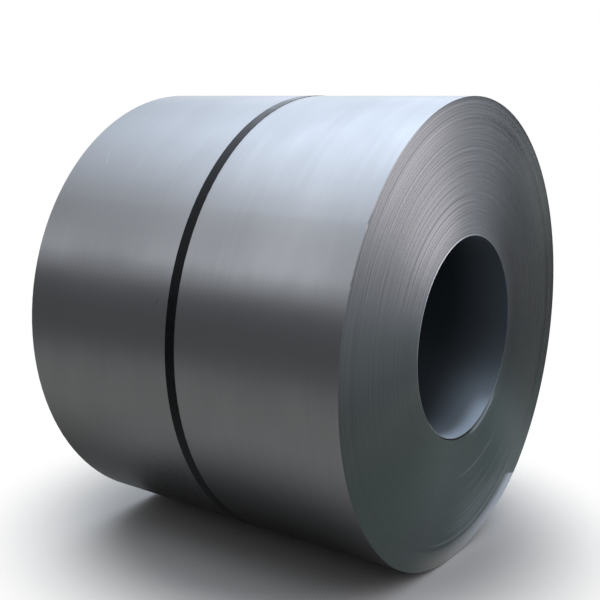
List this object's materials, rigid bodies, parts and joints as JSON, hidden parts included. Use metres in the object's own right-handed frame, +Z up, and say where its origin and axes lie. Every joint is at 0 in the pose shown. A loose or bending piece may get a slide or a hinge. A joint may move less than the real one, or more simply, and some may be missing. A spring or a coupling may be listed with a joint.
{
  "type": "steel coil",
  "caption": "Roll of cold rolled steel strip lying on its side, with a round bore, wound turns showing on its flat ends, and a black steel strap round its girth.",
  "frame": {"origin": "on the floor, under the middle of the coil", "axes": "+X along the coil's axis, towards the end that the picture shows; -Y towards the side of the barrel that it shows; +Z up"},
  "size_m": [1.11, 1.412, 1.4119],
  "materials": {
    "steel_strip": "cold rolled, oiled, satin",
    "strap_black": "black paint, satin"
  },
  "bodies": {
    "root": {"coil": "steel_strip", "strap": "strap_black", "strap_seal": "strap_black"}
  },
  "joints": []
}
